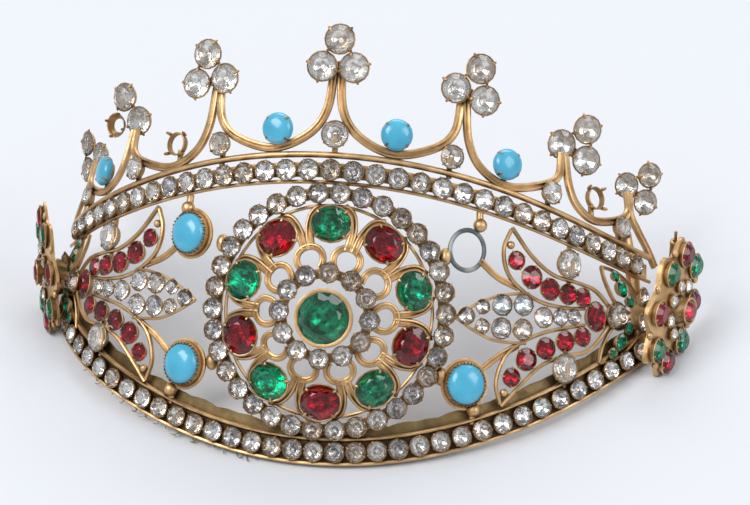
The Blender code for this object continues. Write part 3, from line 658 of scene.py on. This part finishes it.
crest_metal = bmesh.new()
for side, tag in SIDES:
    for k in range(4):
        if k == 0 and side < 0:
            continue
        label = "crest_%s%d" % (tag, k) if k else "crest_centre"
        x, y = BASES[k][0] * side, BASES[k][1]
        stones = bmesh.new()
        mounted(stones, crest_metal, spot(x, y, 1.1), FOOT_STONES[k], SMALL[k % 2], claws=4, first=0.7,
                grip=0.4, tall=0.7)
        little_post(crest_metal, x, y - 4.4, y)
        settle(label + "_foot_paste", stones, CLOUDY_LOOKS, (label + "_foot_stone",), 0)

        mx, my, tilt, yaw = TREFOILS[k]
        if side < 0 and k in LEFT_TREFOILS:
            mx, my, tilt = LEFT_TREFOILS[k]
        turned = Matrix.Rotation(-side * math.radians(yaw), 3, "Z")
        right, up, out = (turned @ v for v in axes(side * mx, my))
        tip = basis(right, up, out, wall(side * mx, my, 0.0 if k < 2 else -0.55)) @ Matrix.Scale(MM, 4)
        radius, size = TREFOIL_SIZES[k]
        stones = bmesh.new()
        for i in range(3):
            turn = side * math.radians(tilt + 120 * i)
            place = tip @ Matrix.Translation((radius * math.sin(turn), radius * math.cos(turn), 1.55))
            if (side, k, i) == LOST_STONE:
                put(crest_metal, CUP, place @ Matrix.Diagonal((2.5, 2.5, 1.6, 1)))
                for c in range(4):
                    angle = 0.8 + FULL * c / 4
                    at = Matrix.Translation((2.6 * math.cos(angle), 2.6 * math.sin(angle), 0.5))
                    put(crest_metal, CLAW_BEAD, place @ at @ Matrix.Diagonal((0.35, 0.35, 0.8, 1)))
            else:
                mounted(stones, crest_metal, place, size, LARGE[0 if i else 1], claws=4,
                        first=0.8 - turn, grip=0.62, tall=0.6)
        knob = Matrix.Translation((0, -1.6, 0.2)) @ Matrix.Diagonal((0.9, 1.1, 0.7, 1))
        put(crest_metal, BEAD, tip @ knob)
        settle(label + "_trefoil_paste", stones, CLOUDY_LOOKS, (label + "_trefoil",), 0)

for side, places in VALLEY_CUPS.items():
    for k, (x, y) in enumerate(places):
        empty = (side, k) in EMPTY_CUPS
        little_post(crest_metal, x, y - 4.4, y - 1)
        place = spot(x, y, 0.7)
        if empty:
            put(crest_metal, spun(((2.3, -0.6), (2.5, 0.6), (2.2, 0.7), (2.05, -0.5)), 20), place)
        else:
            put(crest_metal, CUP, place @ Matrix.Diagonal((2.75, 2.75, 1.6, 1)))
        for c in range(4):
            angle = math.pi / 4 + FULL * c / 4
            at = Matrix.Translation((2.95 * math.cos(angle), 2.95 * math.sin(angle), 0.6))
            lean = Matrix.Rotation(math.radians(20 if empty else -12), 4, "Y")
            put(crest_metal, CLAW_BEAD, place @ at @ Matrix.Rotation(angle, 4, "Z") @ lean
                @ Matrix.Diagonal((0.38, 0.42, 1.0, 1)))
settle("cresting_settings", crest_metal, (gilt_dark,), ("frame",))

CREST_TURQUOISES = (VALLEY_CUPS[-1][2], VALLEY_CUPS[-1][0], VALLEY_CUPS[1][0], VALLEY_CUPS[1][1])
for k, (x, y) in enumerate(CREST_TURQUOISES):
    node = "turquoise_crest_%d" % (k + 1)
    stone = bmesh.new()
    put(stone, DOMED, spot(x, y, 0.6) @ Matrix.Diagonal((3.3, 3.3, 2.1, 1)))
    settle(node + "_cabochon", stone, (turquoise,), (node,), 60)

# Sprays, given for the right side; a stone's place is followed by its radius or two radii
TURQUOISES = (("turquoise_lower_l", -29.2, 3.2), ("turquoise_lower_r", 29.8, 2.9),
              ("turquoise_upper_l", -29.9, 30.1))
LOST_TURQUOISE = (28.9, 30.1, 3.7, 4.1)   # the empty ring: x, y and its two radii
BALLS = ((31.4, 35.3), (32.0, -2.3))
RING_BALLS, RING_BALL_R = (62.0, 116.0), 26.7       # round the medallion: degrees, radius
RUBIES = ((40.1, 28.7, 1.9), (43.8, 25.5, 2.35), (48.2, 23.3, 2.25), (52.7, 22.6, 2.15),
          (56.6, 22.2, 2.0), (60.0, 18.4, 2.5), (56.5, 14.0, 2.0), (52.2, 12.8, 2.15),
          (47.6, 11.1, 2.2), (43.2, 8.6, 2.3), (40.1, 4.8, 1.9))
BIG_RUBY, BIG_RUBY_RY = 5, 3.1
PETALS = (((39.2, 35.4), (44.2, 29.8), (49.5, 26.4), (55.0, 25.4), (60.5, 24.0), (65.0, 20.4)),
          ((39.0, 34.9), (37.5, 31.0), (38.4, 26.4), (41.6, 23.0), (46.6, 20.6), (52.5, 19.8),
           (57.5, 20.0)),
          ((38.4, -1.2), (42.6, 3.4), (47.2, 7.6), (52.5, 9.8), (59.0, 11.6), (65.0, 17.8)),
          ((38.2, -0.8), (37.1, 3.6), (38.6, 8.6), (42.0, 11.8), (47.0, 14.2), (52.5, 15.6),
           (57.5, 16.6)))
PETAL_BEADS = ((39.0, 31.8), (38.9, 1.6))
STEMS = (((41.2, 23.2), (36.5, 25.0), (32.4, 28.2)), ((41.6, 11.4), (37.0, 8.6), (32.6, 4.8)))
LEAF_EDGES = (((43.6, 22.1), (40.5, 21.9), (36.0, 21.0), (31.6, 19.0), (27.6, 16.4)),
              ((43.2, 11.9), (40.5, 11.9), (36.0, 12.2), (31.6, 14.0), (27.6, 16.4)))
LEAF_STONES = ((29.9, 16.4, 1.75), (33.3, 18.5, 1.5), (33.4, 14.5, 1.5), (37.5, 19.1, 2.15),
               (37.5, 14.3, 2.15), (42.3, 19.4, 2.15), (42.3, 14.3, 2.15), (47.1, 17.1, 2.1),
               (51.2, 17.4, 1.75), (54.6, 17.7, 1.6))
BLUE_IN_RIGHT_LEAF = (3, 5)
LEAF_RISE = 0.35
BIG_CLEARS = (("upper", 52.9, 28.9), ("lower", 52.3, 7.2), ("end", 66.0, 19.0))
BIG_CLEAR_RX, BIG_CLEAR_RY = 2.85, 2.95
END_CLEARS = ((73.3, 23.4, 1.35, 2.1), (72.5, 17.9, 1.3, 2.0), (74.2, 20.6, 0.95, 0.95))
GREENS = (("upper", 0.5, ((65.4, 27.4, 1.05, 1.2), (67.2, 24.9, 1.35, 1.9), (69.6, 22.3, 1.1, 1.3))),
          ("lower", -0.5, ((64.3, 11.0, 1.05, 1.2), (66.6, 13.6, 1.35, 1.9), (69.0, 16.6, 1.1, 1.3))))
GREEN_EDGES = (((62.2, 29.2), (63.0, 26.6), (65.2, 22.9), (67.4, 21.0), (70.2, 20.0)),
               ((62.2, 29.2), (66.0, 28.6), (70.0, 26.6), (73.2, 23.8)),
               ((61.2, 8.8), (62.2, 12.4), (64.6, 16.0), (67.2, 17.8), (70.2, 18.8)),
               ((61.2, 8.8), (65.0, 9.6), (69.4, 12.4), (73.0, 15.6)))
HANGERS = (((53.2, 24.0), (53.4, 33.4)), ((52.6, 11.0), (52.4, 3.4)))     # of the big clear stones
END_BAR = ((61.0, 17.6, -0.5), (66.0, 17.4, -0.5), (73.6, 17.4, -0.8))
END_POST = ((72.0, 38.0), (73.5, 28.0), (74.0, 18.0), (74.0, 12.0))
STUD_AT = (75.0, 21.0)                    # it carries the side rosette
STUD = spun(((0.0, -1.0), (2.6, -1.0), (2.6, 4.3), (0.0, 4.3)), 20, False)


def fitted(side, x):
    """The two sprays were bent a little differently by hand."""
    return x - 0.7 if side > 0 else -(x + 0.06 * max(0.0, x - 48))


def edging(heap, side, paths, n, steps, profile):
    """Smooth wires along a spray's paths, at height n over the wall."""
    for path in paths:
        put(heap, drawn(flow([(fitted(side, x), y, n) for x, y in path], steps), profile))


for side, tag in SIDES:
    metal, settings = bmesh.new(), bmesh.new()
    for (x, y), way in zip(BALLS, (1, -1)):
        put(metal, BEAD, spot(side * x, y) @ Matrix.Scale(1.45, 4))
        neck = [(side * x, y, -0.4), (side * x, y + way * 1.4, -0.4), (side * x, y + way * 2.8, -0.5)]
        put(metal, drawn(neck, round_bar(0.75)))
    for turn in RING_BALLS:
        a = math.radians(turn)
        x, y = MED_X + side * RING_BALL_R * math.sin(a), MED_Y + RING_BALL_R * math.cos(a)
        put(metal, BEAD, spot(x, y, -0.7) @ Matrix.Diagonal((1.35, 1.9, 1.3, 1)))
    edging(metal, side, PETALS, 0.2, 6, round_bar(0.44, 8, squash=1.3))
    edging(metal, side, LEAF_EDGES, 0.3, 6, round_bar(0.34, 8, squash=1.5))
    edging(metal, side, GREEN_EDGES, 0.4, 5, round_bar(0.36, 8, squash=1.6))
    edging(metal, side, STEMS, 0.0, 6, grown(RIBBED, 0.85))
    for x, y in PETAL_BEADS:
        put(metal, BEAD, spot(fitted(side, x), y, 0.3) @ Matrix.Scale(0.85, 4))
    if side > 0:
        cx, cy, rx, ry = LOST_TURQUOISE
        turns = [FULL * i / 40 for i in range(40)]
        ring = [(cx + rx * math.cos(t), cy + ry * math.sin(t), -0.2) for t in turns]
        empty_ring = drawn(ring, round_bar(0.5, 8), True)
        settle("empty_turquoise_ring", empty_ring, (blackened,), ("frame",))
    for top, foot in HANGERS:
        put(metal, drawn([(side * x, y, -0.5) for x, y in (top, foot)], round_bar(0.55, 8)))
    put(metal, drawn(flow([(side * x, y, n) for x, y, n in END_BAR], 3), round_bar(0.6, 8)))
    put(metal, drawn(flow([(side * x, y, -1.3) for x, y in END_POST], 4), round_bar(1.4, 12)))
    put(metal, STUD, spot(side * STUD_AT[0], STUD_AT[1]))

    stones = bmesh.new()
    for i, (x, y, r) in enumerate(RUBIES):
        big = i == BIG_RUBY
        mounted(stones, settings, spot(fitted(side, x), y, 0.95), r, LARGE[0] if big else SMALL[0],
                BIG_RUBY_RY if big else r, claws=4, first=0.8 if big else any_turn(), tall=0.6)
    settle("petal_rubies_" + tag, stones, RUBY_LOOKS, ("ruby_petals_" + tag,), 0)

    stones = bmesh.new()
    for i, (x, y, r) in enumerate(LEAF_STONES):
        shape = SMALL[BLUE] if side > 0 and i in BLUE_IN_RIGHT_LEAF else any_clear()
        mounted(stones, settings, spot(fitted(side, x), y + LEAF_RISE, 0.6), r, shape, claws=4,
                first=any_turn(), tall=0.6)
    settle("leaf_stones_" + tag, stones, CLEAR_LOOKS, ("clear_leaf_" + tag,), 0)

    for where, turn, places in GREENS:
        stones = bmesh.new()
        for x, y, rx, ry in places:
            mounted(stones, settings, spot(fitted(side, x), y, 1.4, side * turn), rx, SMALL[0], ry,
                    claws=2, grip=0.3, tall=0.8)
        ending = "_%s_%s" % (where, tag)
        settle("green_leaf_stones" + ending, stones, EMERALD_LOOKS, ("green_leaf" + ending,), 0)
    for where, x, y in BIG_CLEARS:
        stones = bmesh.new()
        ending = "_%s_%s" % (where, tag)
        shape, looks = (LARGE[1], CLEAR_LOOKS) if where == "end" else (LARGE[0], CLOUDY_LOOKS)
        mounted(stones, settings, spot(fitted(side, x), y, 1.0), BIG_CLEAR_RX, shape, BIG_CLEAR_RY,
                claws=4, first=0.8, grip=0.44, tall=0.6)
        for ex, ey, rx, ry in END_CLEARS if where == "end" else ():
            mounted(stones, settings, spot(fitted(side, ex), ey, 2.2), rx, SMALL[0], ry, claws=4,
                    grip=0.3, tall=0.9)
        settle("big_paste" + ending, stones, looks, ("big_clear" + ending,), 0)
    settle("spray_settings_" + tag, settings, (gilt_dark,), ("ruby_petals_" + tag, "clear_leaf_" + tag))
    settle("spray_wires_" + tag, metal, (gilt,), ("frame",))

bezels = bmesh.new()
for node, x, y in TURQUOISES:
    stone = bmesh.new()
    put(stone, DOMED, spot(x, y, 0.6) @ Matrix.Diagonal((3.95, 4.25, 2.5, 1)))
    settle(node + "_cabochon", stone, (turquoise,), (node,), 60)
    put(bezels, TOOTHED, spot(x, y, -0.9) @ Matrix.Diagonal((4.2, 4.5, 3.2, 1)))
    put(bezels, COLLAR, spot(x, y, -0.2) @ Matrix.Diagonal((4.3, 4.6, 1.0, 1)))
settle("turquoise_bezels", bezels, (gilt,), ("frame",))

# Side rosettes: plates that stand steeper than the wall, each with a boss and eight stones
ROSETTE_RX, ROSETTE_RY = 10.0, 15.5
ROSETTE_OUT = Vector((0.894, -0.389, 0.22)).normalized()
ROSETTE_UP = Vector((0.207, 0.796, 0.568))
ROSETTE_UP = (ROSETTE_UP - ROSETTE_OUT * ROSETTE_UP.dot(ROSETTE_OUT)).normalized()
ROSETTE_SIDE = ROSETTE_UP.cross(ROSETTE_OUT)
DROP = math.hypot(ROSETTE_RX * ROSETTE_SIDE.z, ROSETTE_RY * ROSETTE_UP.z)
ROSETTE_AT = Vector((69.3, -37.9, REST + DROP))
LEFT_TURN = Matrix.Rotation(math.radians(-12.0), 3, "Z")
MIRROR = Matrix.Diagonal((-1, 1, 1))
FIRST_STONE = math.radians(109.0)         # from the plate's short axis to the top ruby
STONE_RING = (0.7, 0.77)                  # the ring of stones as shares of the plate's two radii
BOSS_SHIFT = 1.0
PLATE_ROWS = ((1.0, 0.9), (0.94, 1.25), (0.6, 2.0), (0.3, 2.3))     # share of the radii, height


def plate_spot(side, du, dv, height):
    """A place on a side rosette whose own unit is a millimetre, z outward."""
    turn = LEFT_TURN if side < 0 else Matrix.Identity(3)
    across, up, out = (turn @ v for v in (ROSETTE_SIDE, ROSETTE_UP, ROSETTE_OUT))
    at = ROSETTE_AT + across * du + up * dv + out * height
    if side < 0:
        across, up, out, at = -(MIRROR @ across), MIRROR @ up, MIRROR @ out, MIRROR @ at
    return basis(across, up, out, at * MM) @ Matrix.Scale(MM, 4)


def lobed_plate():
    """The rosette's base: a domed plate with a lobe under each of its eight stones."""
    bm = bmesh.new()
    bmesh.ops.create_circle(bm, cap_ends=True, segments=96, radius=1.0)
    faces = bm.faces[:]
    for vert in bm.verts:
        turn = math.atan2(vert.co.y, vert.co.x)
        lobe = 0.9 + 0.1 * math.cos(8 * (turn - FIRST_STONE))
        vert.co = (ROSETTE_RX * lobe * math.cos(turn), ROSETTE_RY * lobe * math.sin(turn), 0)
    before, level = 1.0, 0.0
    for share, height in PLATE_ROWS:
        geom = bmesh.ops.extrude_face_region(bm, geom=faces)["geom"]
        faces = [g for g in geom if isinstance(g, bmesh.types.BMFace)]
        verts = list({v for f in faces for v in f.verts})
        bmesh.ops.scale(bm, vec=(share / before, share / before, 1), verts=verts)
        bmesh.ops.translate(bm, vec=(0, 0, height - level), verts=verts)
        before, level = share, height
    bmesh.ops.recalc_face_normals(bm, faces=bm.faces)
    return pattern(bm)


PLATE = lobed_plate()
BOSS = spun(((3.0, 1.0), (3.5, 1.4), (3.3, 2.2), (2.75, 3.2), (2.7, 4.2), (2.95, 4.9), (2.8, 5.15),
             (2.45, 5.0), (2.3, 4.2), (2.2, 1.0)), 32)
for side, tag in SIDES:
    metal, rubies, greens, clears = bmesh.new(), bmesh.new(), bmesh.new(), bmesh.new()
    put(metal, PLATE, plate_spot(side, 0, 0, 0))
    put(metal, BOSS, plate_spot(side, BOSS_SHIFT, 0, 0))
    mounted(rubies, metal, plate_spot(side, BOSS_SHIFT, 0, 4.75), 2.3, LARGE[0], claws=4, first=0.8,
            tall=0.5)
    for i in range(8):
        a = FIRST_STONE + FULL * i / 8
        du, dv = STONE_RING[0] * ROSETTE_RX * math.cos(a), STONE_RING[1] * ROSETTE_RY * math.sin(a)
        mounted(greens if i % 2 else rubies, metal, plate_spot(side, du, dv, 2.3), 2.35, LARGE[0], 2.7,
                claws=4, first=0.8, tall=0.7)
        a += math.pi / 8                  # between two stones: a small clear one and a bead
        du, dv = BOSS_SHIFT + 4.4 * math.cos(a), 5.6 * math.sin(a)
        mounted(clears, metal, plate_spot(side, du, dv, 2.9), 1.35, SMALL[0], claws=4, grip=0.3,
                tall=0.9)
        du, dv = 0.86 * ROSETTE_RX * math.cos(a), 0.86 * ROSETTE_RY * math.sin(a)
        put(metal, BEAD, plate_spot(side, du, dv, 1.3) @ Matrix.Diagonal((0.9, 0.9, 0.7, 1)))
    node = "side_rosette_" + tag
    settle(node + "_plate", metal, (gilt,), (node,))
    settle(node + "_rubies", rubies, RUBY_LOOKS, (node,), 0)
    settle(node + "_greens", greens, EMERALD_LOOKS, (node,), 0)
    settle(node + "_clears", clears, CLEAR_LOOKS, (node,), 0)

# Hinge knuckle and pin behind the right rosette
hinge = bmesh.new()
KNUCKLE_AT = Matrix.Translation(Vector((70.2, -27.2, REST + 16.6)) * MM) @ Matrix.Scale(MM, 4)
put(hinge, spun(((0.5, 0.0), (1.1, 0.0), (1.14, 0.3), (1.1, 0.5), (1.1, 4.1), (1.14, 4.3), (1.1, 4.6),
                 (0.5, 4.6)), 24), KNUCKLE_AT)
put(hinge, spun(((0.0, 0.3), (0.33, 0.3), (0.33, 7.0), (0.2, 7.2), (0.0, 7.2)), 12, False), KNUCKLE_AT)
settle("hinge_knuckle_and_pin", hinge, (gilt_dark,), ("hinge_knuckle",))

# Frayed threads of the old lining, caught under the lower rail
THREADS, THREADS_FROM, THREADS_OVER = 26, -56, 44
threads = bmesh.new()
for i in range(THREADS):
    x = THREADS_FROM + THREADS_OVER * i / (THREADS - 1) + random.uniform(-0.6, 0.6)
    y = level_of(LOWER_BAND, x) - 2.7
    lean, drop = random.uniform(-2.5, 2.5), random.uniform(0.5, 1.5)
    line = flow([(x, y, -1.2), (x + 0.3 * lean, y - 0.5 * drop, -0.3),
                 (x + 0.7 * lean, y - drop, random.uniform(-0.6, 0.6)),
                 (x + lean, y - 0.8 * drop, random.uniform(-0.3, 1.0))], 4)
    put(threads, drawn(line, round_bar(random.uniform(0.07, 0.13), 5)))
settle("lining_threads", threads, (lining,), ("frame",))

# Stage: a pale floor, soft studio light and the camera at the photograph's angle
floor_mesh = bpy.data.meshes.new("floor")
plane = bmesh.new()
bmesh.ops.create_grid(plane, x_segments=1, y_segments=1, size=4.0)
plane.to_mesh(floor_mesh)
plane.free()
floor = bpy.data.objects.new("floor", floor_mesh)
bpy.context.scene.collection.objects.link(floor)
paper, tree, shade = finish_of("pale_paper", 0.75)
shade.inputs["Base Color"].default_value = (0.64, 0.655, 0.69, 1.0)
floor_mesh.materials.append(paper)
floor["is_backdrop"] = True

world = bpy.data.worlds.new("studio")
bpy.context.scene.world = world
world.use_nodes = True
world.node_tree.nodes["Background"].inputs["Color"].default_value = (0.93, 0.96, 1.0, 1.0)
world.node_tree.nodes["Background"].inputs["Strength"].default_value = 0.56


def lamp(name, at, width, height, power):
    """A soft area light that looks at the tiara."""
    data = bpy.data.lights.new(name, "AREA")
    data.shape, data.size, data.size_y, data.energy = "RECTANGLE", width, height, power
    obj = bpy.data.objects.new(name, data)
    obj.location = at
    obj.rotation_euler = (AIM - Vector(at)).to_track_quat("-Z", "Y").to_euler()
    bpy.context.scene.collection.objects.link(obj)


AIM = Vector((0, 0, 0.03))
lamp("key_softbox", (-0.5, -0.35, 0.9), 0.7, 0.5, 7.5)
lamp("fill_softbox", (0.75, -0.2, 0.6), 0.5, 0.5, 3.0)
lamp("back_softbox", (0.1, 0.8, 0.7), 0.9, 0.4, 4.0)

CAMERA_RIGHT = Vector((0.99154, 0.12779, -0.02253))
CAMERA_UP = Vector((-0.06129, 0.61425, 0.78673))
CAMERA_BACK = Vector((0.11438, -0.7787, 0.61689))
CAMERA_AT = Vector((0.05833, -0.36440, 0.31515))
camera = bpy.data.objects.new("camera", bpy.data.cameras.new("camera"))
camera.data.sensor_width, camera.data.lens = 36.0, 108.27
camera.data.clip_start, camera.data.clip_end = 0.01, 20.0
camera.matrix_world = basis(CAMERA_RIGHT, CAMERA_UP, CAMERA_BACK, CAMERA_AT)
bpy.context.scene.collection.objects.link(camera)
bpy.context.scene.camera = camera
bpy.context.scene.view_settings.view_transform = "Standard"

size = {"cad": [list(v) for v in cad_box], "visual": [list(v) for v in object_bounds()]}
